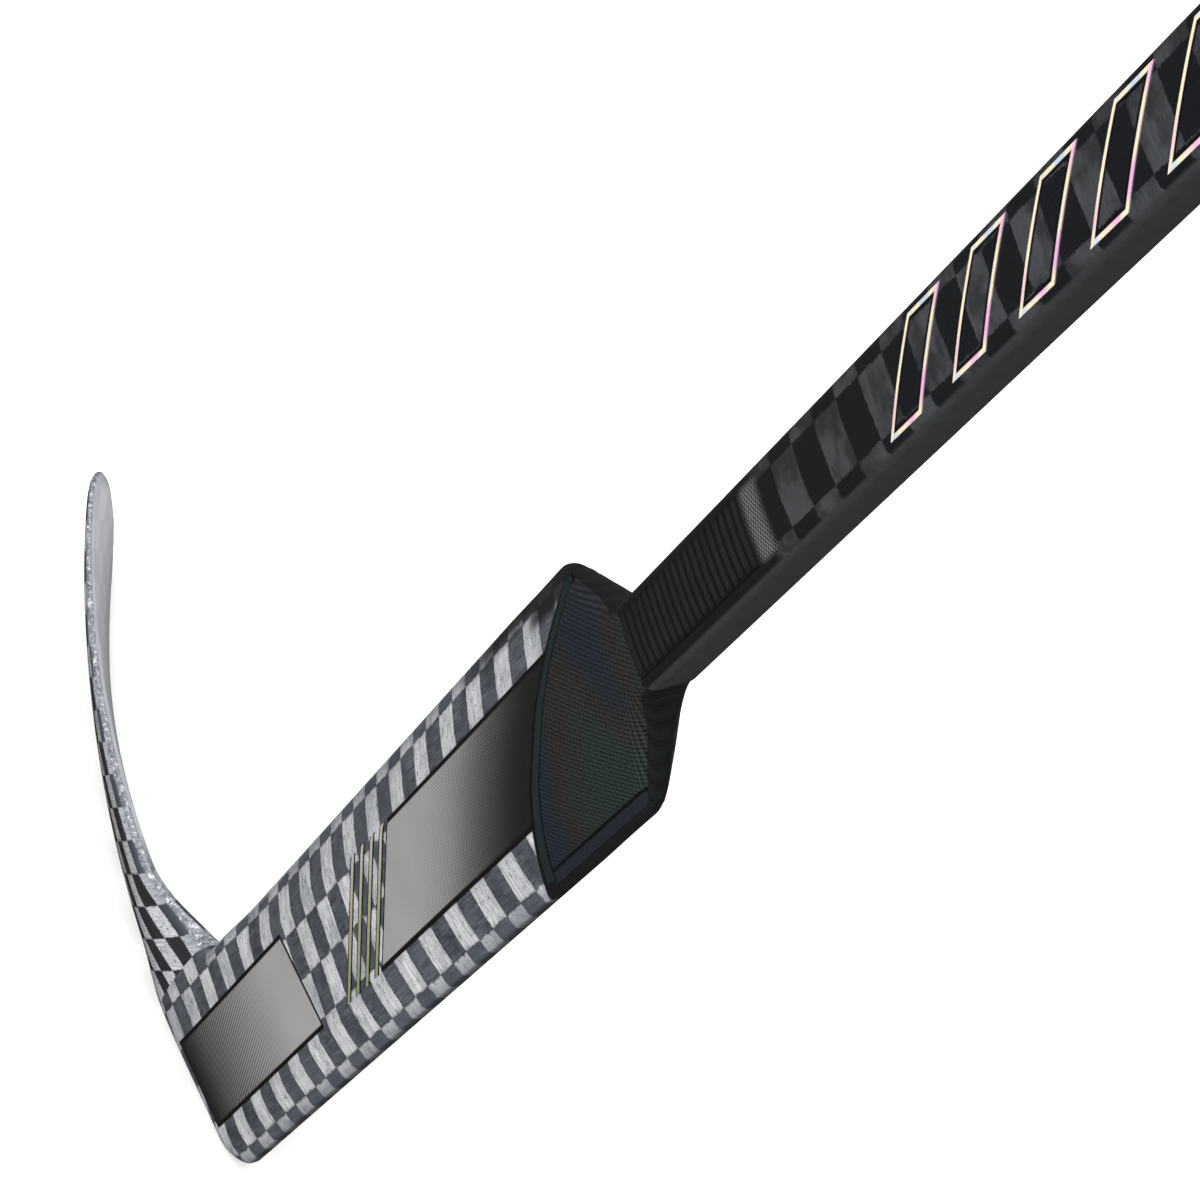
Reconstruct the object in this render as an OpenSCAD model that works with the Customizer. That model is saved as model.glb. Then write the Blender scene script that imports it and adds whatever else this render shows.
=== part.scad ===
// Goaltender's ice hockey stick for a right-hand shot, a moulded composite:
// skins and edge rails over foam cores, with a hollow shaft on a tenon.
// Frame: +Z up with the sole on z = 0, +X toward the toe, +Y out of the back
// face. The origin lies where the shaft axis meets the sole.

/* [Overall] */
// Angle between the sole and the shaft axis, in degrees
lie_angle = 114; // [110:0.5:122]
// Length along the axis from the sole to the butt end
stick_len = 1500; // [1350:1:1600]

/* [Paddle] */
// Length of the outer edge from heel corner to shoulder
paddle_len = 635; // [560:1:700]
// Width of the paddle
paddle_w = 88; // [80:1:90]
// Half thickness of the paddle axis where it meets the sole
heel_half = 6.5; // [5:0.1:8.5]
// Half thickness that the crowned faces would reach at the paddle's edges
edge_half = 2.8; // [2.2:0.1:4]
// Rise of the sloped shoulders from paddle edge to shaft
shoulder_rise = 40; // [24:1:60]
// Radius of the shoulder corners
shoulder_r = 20; // [4:1:24]
// Radius where the shoulders run into the shaft
neck_r = 14; // [6:1:24]
// Radius of the heel corner
heel_r = 30; // [16:1:38]
// Width of the spar between the two foam cores
spar_w = 6; // [3:0.5:10]

/* [Blade] */
// Length of the sole from heel corner to toe
blade_len = 367; // [330:1:394]
// Height of the blade where it meets the paddle
blade_heel_h = 90; // [84:1:100]
// Height of the blade at the toe
blade_toe_h = 83; // [78:1:90]
// Radius of the corner between blade and paddle
crotch_r = 24; // [12:1:34]
// Lower radius of the toe
toe_low_r = 28; // [16:1:34]
// Upper radius of the toe
toe_top_r = 43; // [26:1:50]
// Sideways displacement of the toe's sole
curve_depth = 73; // [0:1:95]
// How late the curve gathers along the blade
curve_power = 2.1; // [1.4:0.1:3]
// How far the blade's face opens at the toe, in degrees
face_open = 8; // [0:0.5:16]
// Share of the blade's length over which the face opens
open_by = 0.2; // [0.2:0.05:1]
// Toe thickness as a share of the heel thickness
toe_share = 0.55; // [0.5:0.01:0.9]
// Share by which the blade thins toward its top and its sole
edge_thin = 0.45; // [0:0.05:0.45]
// Distance from the paddle over which that thinning sets in
thin_run = 40; // [30:5:120]

/* [Shaft] */
// Width of the shaft
shaft_w = 30.5; // [26:0.5:32]
// Thickness of the shaft
shaft_t = 21; // [18:0.5:24]
// Corner radius of the shaft
shaft_r = 5; // [3.5:0.1:6]
// Wall of the shaft tube
shaft_wall = 2.4; // [1.6:0.1:3]
// Length of the tenon inside the shaft
tenon_up = 80; // [40:1:140]
// Length of the tenon inside the paddle
tenon_down = 90; // [40:1:140]
// Length of the foam plug above the tenon
foam_plug_len = 120; // [40:1:240]
// Thickness of the butt cap's flange
cap_flange = 5; // [3:0.5:12]
// Length of the butt cap's stem
cap_stem = 34; // [16:1:60]
// Clearance on each side of a glued fit
glue_gap = 0.2; // [0.1:0.05:0.3]

/* [Walls] */
// Thickness of the laminate skins
skin_t = 1.2; // [0.8:0.1:1.8]
// Width of the edge rails
rail_w = 4; // [3:0.1:6]
// Height of the blade's inner rib
rib_h = 7; // [4:0.5:12]

/* [Grip ribs] */
// Number of ribs on each face
grip_count = 20; // [8:1:24]
// Distance from rib to rib
grip_pitch = 6; // [4:0.1:7]
// Length of one rib along the shaft
grip_rib = 3.2; // [1.5:0.1:3.8]
// Height of the ribs
grip_high = 1; // [0.5:0.1:1.6]
// Width of the ribbed area
grip_w = 22; // [14:0.5:24]

/* [Foils] */
// Thickness of a printed foil
foil_t = 0.25; // [0.15:0.05:0.5]
// Width of the foil panels
panel_w = 45; // [30:0.5:60]
// Height above the sole of the lower panel's lower end
panel_low_z = 9; // [8:1:40]
// Height above the sole of the lower panel's upper end
panel_high_z = 206; // [120:1:220]
// Distance along the axis to the upper panel's lower end
panel_up_start = 372; // [330:1:390]
// Length of the upper panel along the axis
panel_up_len = 214; // [120:1:216]
// How far the edge of the shoulder wrap bows toward the heel
wrap_bow = 12; // [0:1:24]
// Width of the trim band below the shoulder wrap
trim_band = 11; // [3:0.5:12]
// Length of one pinstripe along the axis
stripe_len = 7; // [3:0.5:9]
// Width of the slanted frames on the shaft
bar_w = 24; // [12:1:24]
// Length of the slanted frames on the shaft
bar_len = 24; // [12:1:26]

/* [Hidden] */
half_w = paddle_w / 2;
half_t = shaft_t / 2;
in_w = half_w - rail_w;
crown_r = (half_w * half_w + pow(half_t - edge_half, 2)) / (2 * (half_t - edge_half));
axis_dir = [cos(lie_angle), sin(lie_angle)];
cross_dir = [sin(lie_angle), -cos(lie_angle)];
shoulder_u = paddle_len - half_w * cos(lie_angle) / sin(lie_angle);
neck_u = shoulder_u + shoulder_rise;
cap_low_u = shoulder_u - 26;
cap_top_u = neck_u + 10;
join_u = 176;
blend_u = 62;
blend_share = 0.75;
bend_x = 6;
toe_x = blade_len - half_w / sin(lie_angle);
rail_mid = 0.77;
rail_out = 0.45;
rail_mid_at = 0.65;
bore_w = shaft_w - 2 * shaft_wall;
bore_t = shaft_t - 2 * shaft_wall;
bore_r = shaft_r - shaft_wall;
slant = 1.55;
shades = ["dimgray", "darkslategray", "silver", "gray", "black", "tan"];

// Basic numbers.
function mix(a, b, k) = a * (1 - k) + b * k;
function clip(v) = max(0, min(1, v));
function smooth(v) = clip(v) * clip(v) * (3 - 2 * clip(v));

// Planform: a point at w across the axis and u along it, as [x, z].
function plan(w, u) = w * cross_dir + u * axis_dir;
function across(p) = p * cross_dir;
function along(p) = p * axis_dir;
function u_at(w, z) = (z + w * cos(lie_angle)) / sin(lie_angle);
function turn(a) = [cos(a), sin(a)];
function unit(v) = v / norm(v);

// Half thickness of the whole stick below the shoulder, at a planform point.
function crown(w) = half_t - crown_r + sqrt(crown_r * crown_r - w * w);
function side_half(u) = mix(heel_half, half_t, clip(u / shoulder_u));
function blend(u) = blend_share * (1 - smooth((u - blend_u) / (join_u - blend_u)));
function flat_w(w, u) = w > 0 ? min(w, half_w) * (1 - blend(u)) : max(w, -half_w);
function body_half(w, u) = min(crown(flat_w(w, u)), side_half(u));
function taper(w) = mix(1, toe_share, clip((w - in_w) / (toe_x - in_w)));
function tall(p) = 2 * p[1] / mix(blade_heel_h, blade_toe_h, clip(p[0] / toe_x)) - 1;
function swell(p) = 1 - edge_thin * smooth((across(p) - in_w) / thin_run)
    * min(1, pow(tall(p), 2));
function half_at(p) = body_half(across(p), along(p)) * taper(across(p)) * swell(p);

// Sideways position of the middle surface: the blade's curve and open face.
function reach(p) = clip((p[0] - bend_x) / (toe_x - bend_x));
function shift_at(p) = p[1] * tan(face_open * smooth(reach(p) / open_by))
    - curve_depth * pow(reach(p), curve_power);

// Corners of the planform.
top_at = [0, blade_heel_h];
top_out = unit([blade_heel_h - blade_toe_h, toe_x - toe_top_r]);
top_tilt = 90 - atan2(top_out[1], top_out[0]);
heel_mid = plan(heel_r - half_w, u_at(heel_r - half_w, heel_r));
crotch_u = (crotch_r - ((half_w + crotch_r) * cross_dir - top_at) * top_out) / (axis_dir * top_out);
crotch_mid = plan(half_w + crotch_r, crotch_u);
toe_low_mid = [toe_x - toe_low_r, toe_low_r];
toe_top_x = toe_x - toe_top_r;
toe_top_mid = [toe_top_x, top_at[1] - (toe_top_r + toe_top_x * top_out[0]) / top_out[1]];
seam_x = plan(in_w, u_at(in_w, rail_w))[0];

// Border lines at a distance d inside the outer edge. Each runs one way round.
function arc(c, r, a, b, n) = [for (i = [0:n]) c + r * turn(mix(a, b, i / n))];
function run(a, b, n) = [for (i = [0:n]) mix(a, b, i / n)];
function rest(v) = [for (i = [1:len(v) - 1]) v[i]];
function back(v) = [for (i = [len(v) - 1:-1:0]) v[i]];
function heel_arc(d) = arc(heel_mid, heel_r - d, lie_angle + 90, 270, 10);
function heel_side(d) = run(plan(d - half_w, join_u), heel_arc(d)[0], 8);
function heel_foot(d) = run(heel_arc(d)[10], [seam_x, d], 6);
function heel_line(d) = concat(heel_side(d), rest(heel_arc(d)), rest(heel_foot(d)));
function crotch_arc(d) = arc(crotch_mid, crotch_r + d, lie_angle + 90, 270 - top_tilt, 8);
function toe_arc_low(d) = arc(toe_low_mid, toe_low_r - d, 270, 360, 10);
function toe_arc_top(d) = arc(toe_top_mid, toe_top_r - d, 90 - top_tilt, 0, 10);
function top_run(d) = run(crotch_arc(d)[8], toe_arc_top(d)[0], 26);
function crotch_line(d) = concat(run(plan(half_w - d, join_u), crotch_arc(d)[0], 6),
    rest(crotch_arc(d)));
function toe_line(d) = concat(toe_arc_low(d), back(toe_arc_top(d)));
upper_in = concat(crotch_arc(rail_w), rest(top_run(rail_w)));
upper_span = upper_in[34][0] - upper_in[0][0];
low_x = [for (p = upper_in) mix(seam_x, toe_low_mid[0], (p[0] - upper_in[0][0]) / upper_span)];
function sole_line(d) = [for (x = low_x) [x, d]];

// Grids over the planform, as columns of points.
function columns(low, high, rows) = [for (i = [0:len(low) - 1]) [for (k = rows)
    mix(low[i], high[i], k)]];
blade_low = concat(sole_line(rail_w), rest(toe_arc_low(rail_w)));
blade_high = concat(upper_in, rest(toe_arc_top(rail_w)));
rib_low = 0.5 - rib_h / (2 * blade_toe_h);
rib_high = 0.5 + rib_h / (2 * blade_toe_h);
rows_low = [for (i = [0:4]) rib_low * i / 4];
rows_rib = [rib_low, 0.5, rib_high];
rows_high = [for (i = [0:4]) mix(rib_high, 1, i / 4)];
rows_all = concat(rows_low, [0.5], rows_high);
heel_low = concat(heel_arc(rail_w), rest(heel_foot(rail_w)));
heel_high = [for (p = heel_low) plan(across(p), join_u)];
heel_rows = [for (i = [0:10]) i / 10];

// A closed slab over a grid. Each side lies a depth below the front (-1) or
// back (1) face, or above it where the depth is negative.
function lift(p, s, depth) = [p[0], shift_at(p) + s * (half_at(p) - depth), p[1]];
module slab(g, s0, d0, s1, d1) {
    m = len(g);
    n = len(g[0]);
    low = [for (c = g, p = c) lift(p, s0, d0)];
    high = [for (c = g, p = c) lift(p, s1, d1)];
    o = m * n;
    face_quads = [for (i = [0:m - 2], j = [0:n - 2]) [i * n + j, i * n + j + 1,
        (i + 1) * n + j + 1, (i + 1) * n + j]];
    ring = concat([for (j = [0:n - 1]) j], [for (i = [1:m - 1]) i * n + n - 1],
        [for (j = [n - 2:-1:0]) (m - 1) * n + j], [for (i = [m - 2:-1:1]) i * n]);
    low_faces = [for (q = face_quads, t = [[0, 1, 2], [0, 2, 3]]) [for (k = t) q[k]]];
    high_faces = [for (f = low_faces) [f[2] + o, f[1] + o, f[0] + o]];
    wall_faces = [for (i = [0:len(ring) - 1], t = [0, 1])
        let (a = ring[i], b = ring[(i + 1) % len(ring)])
        t == 0 ? [a, b + o, b] : [a, a + o, b + o]];
    polyhedron(concat(low, high), concat(low_faces, high_faces, wall_faces), convexity = 8);
}

// A rail between an inner and an outer border line.
function rail_ring(p, q) = let (h = half_at(p), m = mix(p, q, rail_mid_at))
    [for (e = [[p, h], [m, h * rail_mid], [q, h * rail_out], [q, -h * rail_out],
        [m, -h * rail_mid], [p, -h]]) [e[0][0], shift_at(e[0]) + e[1], e[0][1]]];
module rail(inner, outer) {
    m = len(inner);
    points = [for (i = [0:m - 1]) each rail_ring(inner[i], outer[i])];
    sides = [for (i = [0:m - 2], k = [0:5], t = [0, 1])
        let (a = i * 6 + k, b = i * 6 + (k + 1) % 6)
        t == 0 ? [a, b + 6, b] : [a, a + 6, b + 6]];
    start = [[0, 1, 2], [0, 2, 3], [0, 3, 4], [0, 4, 5]];
    o = (m - 1) * 6;
    finish = [for (f = start) [f[2] + o, f[1] + o, f[0] + o]];
    polyhedron(points, concat(sides, start, finish), convexity = 8);
}

// Shapes drawn across the axis (x = w, y = out of the back face).
module crowned(d) {
    intersection() {
        translate([0, half_t - crown_r]) circle(crown_r - d, $fn = 256);
        translate([0, crown_r - half_t]) circle(crown_r - d, $fn = 256);
    }
}
module edge_shape() {
    h = crown(in_w);
    w = in_w + rail_w * rail_mid_at;
    k = (h - h * rail_mid) / (w - in_w);
    polygon([[half_w, h * rail_out], [w, h * rail_mid], [0, h + k * in_w], [-w, h * rail_mid],
        [-half_w, h * rail_out], [-half_w, -h * rail_out], [-w, -h * rail_mid],
        [0, -h - k * in_w], [w, -h * rail_mid], [half_w, -h * rail_out]]);
}
module rounded(w, t, r) {
    square([w - 2 * r, t], center = true);
    square([w, t - 2 * r], center = true);
    for (a = [-1, 1], b = [-1, 1]) {
        translate([a * (w / 2 - r), b * (t / 2 - r)]) circle(r, $fn = 48);
    }
}
module shaft_shape(d) {
    intersection() {
        rounded(shaft_w - 2 * d, shaft_t - 2 * d, shaft_r - d);
        crowned(d);
    }
}
module face_strip(w, low, high) {
    intersection() {
        difference() {
            crowned(-high);
            crowned(-low);
        }
        translate([-w / 2, 0]) square([w, half_t + 4]);
    }
}

// Placement: lay() stands what is drawn across the axis along it.
module lay(u = 0) {
    rotate([0, 90 - lie_angle, 0]) translate([0, 0, u]) children();
}
module bar(u0, u1) {
    lay(u0) linear_extrude(u1 - u0) children();
}
// Stretches a planform drawing (x = w, y = u) through the whole thickness.
module through(y0, y1) {
    lay() translate([0, y1, 0]) rotate([90, 0, 0]) linear_extrude(y1 - y0) children();
}
module front_to_back(side) {
    mirror([0, side < 0 ? 1 : 0, 0]) children();
}
// The side view of the paddle, d inside its faces, between two widths.
module side_view(d, w0, w1) {
    h0 = heel_half - d;
    h1 = half_t - d;
    u2 = neck_u + 60;
    lay() translate([w0, 0, 0]) rotate([90, 0, 90]) linear_extrude(w1 - w0)
        polygon([[-h0, 0], [h0, 0], [h1, shoulder_u], [h1, u2], [-h1, u2], [-h1, shoulder_u]]);
}
module paddle_body(d, w0, w1, u0, u1) {
    intersection() {
        bar(u0, u1) intersection() {
            crowned(d);
            translate([w0, -half_w]) square([w1 - w0, 2 * half_w]);
        }
        side_view(d, w0, w1);
    }
}
module tenon_shape(gap) {
    rounded(bore_w - 2 * glue_gap + 2 * gap, bore_t - 2 * glue_gap + 2 * gap, bore_r);
}
module tenon_room() {
    bar(neck_u - shoulder_rise - tenon_down - glue_gap, cap_top_u + 1) tenon_shape(glue_gap);
}

// Shaft.
module shaft_tube() {
    color(shades[4]) bar(cap_top_u, stick_len - cap_flange) difference() {
        shaft_shape(0);
        rounded(bore_w, bore_t, bore_r);
    }
}
module shaft_tenon() {
    color(shades[5]) bar(shoulder_u - tenon_down, cap_top_u + tenon_up) tenon_shape(0);
}
module shaft_foam_plug() {
    low = cap_top_u + tenon_up + glue_gap;
    color(shades[5]) bar(low, low + foam_plug_len) tenon_shape(0);
}
module butt_cap() {
    color(shades[4]) {
        bar(stick_len - cap_flange, stick_len) shaft_shape(0);
        bar(stick_len - cap_flange - cap_stem, stick_len - cap_flange) tenon_shape(0);
    }
}
module grip_ribs(side) {
    color(shades[4]) front_to_back(side) {
        bar(cap_top_u + 2, cap_top_u + 2 + grip_count * grip_pitch)
            face_strip(grip_w + 2, 0, 0.4);
        for (i = [0:grip_count - 1]) {
            bar(cap_top_u + 3 + i * grip_pitch, cap_top_u + 3 + i * grip_pitch + grip_rib)
                face_strip(grip_w, 0, grip_high);
        }
    }
}
module grip_ribs_back() {
    grip_ribs(1);
}
module grip_ribs_front() {
    grip_ribs(-1);
}

// Shoulder: the closed top of the paddle, which carries the tenon.
function round_corner(a, b, c, r, n) = let (p = unit(a - b), q = unit(c - b),
    t = acos(p * q), m = b + unit(p + q) * r / sin(t / 2), s = b + p * r / tan(t / 2),
    e = b + q * r / tan(t / 2), x = s - m, y = e - m, f = acos((x * y) / (r * r)))
    [for (i = [0:n]) m + (x * sin(f * (1 - i / n)) + y * sin(f * i / n)) / sin(f)];
function shoulder_side(s) = let (v = [[s * half_w, cap_low_u], [s * half_w, shoulder_u],
    [s * shaft_w / 2, neck_u], [s * shaft_w / 2, cap_top_u + 40]])
    concat([v[0]], round_corner(v[0], v[1], v[2], shoulder_r, 8),
        [for (p = round_corner(v[1], v[2], v[3], neck_r, 8)) if (p[1] < cap_top_u) p],
        [[s * shaft_w / 2, cap_top_u]]);
module shoulder_plan() {
    polygon(concat(shoulder_side(-1), back(shoulder_side(1))));
}
module shoulder_cap() {
    color(shades[4]) difference() {
        intersection() {
            bar(cap_low_u, cap_top_u) intersection() {
                crowned(0);
                edge_shape();
            }
            through(-half_t, half_t) shoulder_plan();
            side_view(0, -half_w, half_w);
        }
        tenon_room();
    }
}

// Paddle.
module paddle_skin(side) {
    color(shades[1]) intersection() {
        difference() {
            paddle_body(0, -in_w, in_w, join_u, cap_low_u);
            paddle_body(skin_t, -half_w, half_w, join_u - 5, cap_low_u + 5);
        }
        front_to_back(side) through(0, half_t + 1) translate([-half_w, join_u])
            square([paddle_w, cap_low_u - join_u]);
    }
}
module paddle_back_skin() {
    paddle_skin(1);
}
module paddle_front_skin() {
    paddle_skin(-1);
}
module paddle_core(w0, w1) {
    color(shades[5]) difference() {
        paddle_body(skin_t, w0, w1, join_u, cap_low_u);
        tenon_room();
    }
}
module paddle_core_inner() {
    paddle_core(spar_w / 2, in_w);
}
module paddle_core_outer() {
    paddle_core(-in_w, -spar_w / 2);
}
module paddle_spar() {
    color(shades[3]) paddle_body(skin_t, -spar_w / 2, spar_w / 2, join_u,
        shoulder_u - tenon_down - glue_gap);
}
module paddle_rail(side) {
    color(shades[4]) bar(join_u, cap_low_u) intersection() {
        edge_shape();
        translate([side > 0 ? in_w : -half_w, -half_t]) square([rail_w, shaft_t]);
    }
}
module paddle_inner_rail() {
    paddle_rail(1);
}
module paddle_outer_rail() {
    paddle_rail(-1);
}

// Heel: the paddle's foot, where its section turns into the blade's.
heel_grid = columns(heel_low, heel_high, heel_rows);
module heel_back_skin() {
    color(shades[1]) slab(heel_grid, 1, skin_t, 1, 0);
}
module heel_front_skin() {
    color(shades[1]) slab(heel_grid, -1, 0, -1, skin_t);
}
module heel_core() {
    color(shades[5]) slab(heel_grid, -1, skin_t, 1, skin_t);
}
module heel_rail() {
    color(shades[4]) rail(heel_line(rail_w), heel_line(0));
}
module crotch_rail() {
    color(shades[4]) rail(back(crotch_line(rail_w)), back(crotch_line(0)));
}

// Blade.
module blade_back_skin() {
    color(shades[1]) slab(columns(blade_low, blade_high, rows_all), 1, skin_t, 1, 0);
}
module blade_front_skin() {
    color(shades[1]) slab(columns(blade_low, blade_high, rows_all), -1, 0, -1, skin_t);
}
module blade_core_lower() {
    color(shades[5]) slab(columns(blade_low, blade_high, rows_low), -1, skin_t, 1, skin_t);
}
module blade_rib() {
    color(shades[3]) slab(columns(blade_low, blade_high, rows_rib), -1, skin_t, 1, skin_t);
}
module blade_core_upper() {
    color(shades[5]) slab(columns(blade_low, blade_high, rows_high), -1, skin_t, 1, skin_t);
}
module blade_sole_rail() {
    color(shades[4]) rail(sole_line(rail_w), sole_line(0));
}
module toe_rail() {
    color(shades[4]) rail(toe_line(rail_w), toe_line(0));
}
module blade_top_rail() {
    color(shades[4]) rail(back(top_run(rail_w)), back(top_run(0)));
}

// Foils: the plain printed layers on both faces.
panel_half = panel_w / 2;
module panel_lower(side) {
    lows = [for (i = [0:10]) let (w = mix(-panel_half, panel_half, i / 10))
        plan(w, u_at(w, panel_low_z))];
    highs = [for (i = [0:10]) let (w = mix(-panel_half, panel_half, i / 10))
        plan(w, u_at(w, panel_high_z))];
    g = columns(lows, highs, [for (j = [0:24]) j / 24]);
    color(shades[2]) {
        if (side > 0) {
            slab(g, 1, 0, 1, -foil_t);
        } else {
            slab(g, -1, -foil_t, -1, 0);
        }
    }
}
module panel_lower_back() {
    panel_lower(1);
}
module panel_lower_front() {
    panel_lower(-1);
}
// A face layer of the paddle and shoulder under a planform drawing.
module foil(side, thick) {
    intersection() {
        difference() {
            paddle_body(-thick, -in_w, in_w, join_u, cap_top_u);
            paddle_body(0, -half_w, half_w, join_u - 1, cap_top_u + 1);
        }
        front_to_back(side) through(1, half_t + 2) children();
    }
}
module face_plan() {
    translate([-in_w, join_u]) square([2 * in_w, cap_low_u - join_u]);
    shoulder_plan();
}
module slanted(w0, w1, u, length) {
    polygon([[w0, u + slant * w0], [w1, u + slant * w1], [w1, u + slant * w1 + length],
        [w0, u + slant * w0 + length]]);
}
module panel_upper(side) {
    color(shades[2]) foil(side, foil_t) difference() {
        slanted(-panel_half, panel_half, panel_up_start, panel_up_len + 30);
        bowed(trim_u, 400);
    }
}
module panel_upper_back() {
    panel_upper(1);
}
module panel_upper_front() {
    panel_upper(-1);
}
module pinstripes(side) {
    color(shades[3]) foil(side, foil_t) {
        for (i = [0:3]) {
            slanted(-panel_half, panel_half, panel_up_start - 12 - 16 * i, stripe_len);
        }
    }
}
module pinstripes_back() {
    pinstripes(1);
}
module pinstripes_front() {
    pinstripes(-1);
}
trim_u = panel_up_start + panel_up_len + wrap_bow + 4;
module bowed(u, length) {
    low = [for (i = [0:12]) let (w = mix(-in_w, in_w, i / 12))
        [w, u + slant * w - wrap_bow * (1 - pow(w / in_w, 2))]];
    polygon(concat(low, [for (p = back(low)) p + [0, length]]));
}
module shoulder_trim(side) {
    color(shades[3]) foil(side, foil_t) intersection() {
        bowed(trim_u, trim_band);
        face_plan();
    }
}
module shoulder_trim_back() {
    shoulder_trim(1);
}
module shoulder_trim_front() {
    shoulder_trim(-1);
}
module shoulder_wrap(side) {
    color(shades[0]) foil(side, foil_t) intersection() {
        bowed(trim_u + trim_band, 400);
        face_plan();
    }
}
module shoulder_wrap_back() {
    shoulder_wrap(1);
}
module shoulder_wrap_front() {
    shoulder_wrap(-1);
}
bars_u = cap_top_u + 3 + grip_count * grip_pitch + 110;
module shaft_bars(side) {
    color(shades[2]) front_to_back(side) intersection() {
        bar(bars_u, bars_u + 310) face_strip(bar_w, 0, foil_t);
        union() {
            for (i = [0:5]) {
                through(1, half_t + 2) slanted(-bar_w / 2, bar_w / 2, bars_u + 20 + 48 * i, bar_len);
            }
        }
    }
}
module shaft_bars_back() {
    shaft_bars(1);
}
module shaft_bars_front() {
    shaft_bars(-1);
}

shaft_tube();
shaft_tenon();
shaft_foam_plug();
butt_cap();
grip_ribs_back();
grip_ribs_front();
shoulder_cap();
paddle_back_skin();
paddle_front_skin();
paddle_core_inner();
paddle_core_outer();
paddle_spar();
paddle_inner_rail();
paddle_outer_rail();
heel_back_skin();
heel_front_skin();
heel_core();
heel_rail();
crotch_rail();
blade_back_skin();
blade_front_skin();
blade_core_lower();
blade_rib();
blade_core_upper();
blade_sole_rail();
toe_rail();
blade_top_rail();
panel_lower_back();
panel_lower_front();
panel_upper_back();
panel_upper_front();
pinstripes_back();
pinstripes_front();
shoulder_trim_back();
shoulder_trim_front();
shoulder_wrap_back();
shoulder_wrap_front();
shaft_bars_back();
shaft_bars_front();
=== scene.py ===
import bpy
import math
import numpy as np
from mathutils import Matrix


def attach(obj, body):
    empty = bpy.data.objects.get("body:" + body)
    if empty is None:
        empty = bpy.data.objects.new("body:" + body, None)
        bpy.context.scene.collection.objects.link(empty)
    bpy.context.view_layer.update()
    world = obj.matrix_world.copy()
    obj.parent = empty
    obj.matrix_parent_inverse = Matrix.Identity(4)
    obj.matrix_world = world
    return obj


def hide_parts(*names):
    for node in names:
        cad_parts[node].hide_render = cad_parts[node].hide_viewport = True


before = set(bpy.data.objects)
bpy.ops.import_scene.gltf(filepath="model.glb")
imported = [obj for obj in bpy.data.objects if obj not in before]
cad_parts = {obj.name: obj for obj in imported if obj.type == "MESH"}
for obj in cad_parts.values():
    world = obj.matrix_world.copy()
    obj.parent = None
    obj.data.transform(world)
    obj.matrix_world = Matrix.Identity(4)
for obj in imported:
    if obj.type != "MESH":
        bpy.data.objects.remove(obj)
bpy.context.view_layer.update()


# Camera: above and behind the shaft, looking down its length at the back face.
# Its long lens keeps the paddle's edges almost parallel, and the blade lies at
# the lower left, beyond the paddle.
camera_data = bpy.data.cameras.new("camera")
camera_data.lens = 141.1
camera_data.sensor_width = 36.0
camera_data.clip_start = 0.05
camera_data.clip_end = 40.0
camera = bpy.data.objects.new("camera", camera_data)
camera.location = (-1.09241, 0.53787, 1.77262)
camera_turn = (40.48809, -7.01095, -114.37055)
camera.rotation_euler = [math.radians(turn) for turn in camera_turn]
bpy.context.collection.objects.link(camera)
bpy.context.scene.camera = camera
bpy.context.scene.view_settings.view_transform = "Standard"


# Laminate body: one moulded shell of woven carbon that wraps the blade, the
# paddle and the sloped shoulders. It is thin at the rounded edges, crowned on
# both faces, curved toward the toe, and clear-coated over the cloth.
LIE = math.radians(114)
COS_LIE = math.cos(LIE)
SIN_LIE = math.sin(LIE)
HALF_W = 0.044
HALF_T = 0.0105
EDGE_HALF = 0.0028
HEEL_HALF = 0.0065
CROWN_R = (HALF_W**2 + (HALF_T - EDGE_HALF) ** 2) / (2 * (HALF_T - EDGE_HALF))
RAIL_W = 0.004
IN_W = HALF_W - RAIL_W
PADDLE_LEN = 0.635
SHOULDER_RISE = 0.040
SHOULDER_R = 0.020
NECK_R = 0.014
SHOULDER_U = PADDLE_LEN - HALF_W * COS_LIE / SIN_LIE
NECK_U = SHOULDER_U + SHOULDER_RISE
BODY_TOP_U = NECK_U + 0.010
SHAFT_HALF_W = 0.01525
JOIN_U = 0.176
BLEND_U = 0.062
BLEND_SHARE = 0.75
BEND_X = 0.006
BLADE_LEN = 0.367
TOE_X = BLADE_LEN - HALF_W / SIN_LIE
HEEL_H = 0.090
TOE_H = 0.083
HEEL_R = 0.030
CROTCH_R = 0.024
TOE_LOW_R = 0.028
TOE_TOP_R = 0.043
CURVE = 0.073
CURVE_POWER = 2.1
OPEN_FACE = math.radians(8)
OPEN_BY = 0.2
TOE_SHARE = 0.55
EDGE_THIN = 0.45
THIN_RUN = 0.040


def clip01(v):
    return np.clip(v, 0.0, 1.0)


def ease(v):
    v = clip01(v)
    return v * v * (3 - 2 * v)


# A place on the stick's flat outline: w runs across the paddle, u along it.
def plan(w, u):
    w, u = np.broadcast_arrays(np.asarray(w, float), np.asarray(u, float))
    return np.stack([w * SIN_LIE + u * COS_LIE, u * SIN_LIE - w * COS_LIE], -1)


def across(p):
    return p[..., 0] * SIN_LIE - p[..., 1] * COS_LIE


def along(p):
    return p[..., 0] * COS_LIE + p[..., 1] * SIN_LIE


def crown(w):
    return HALF_T - CROWN_R + np.sqrt(CROWN_R**2 - w * w)


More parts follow.
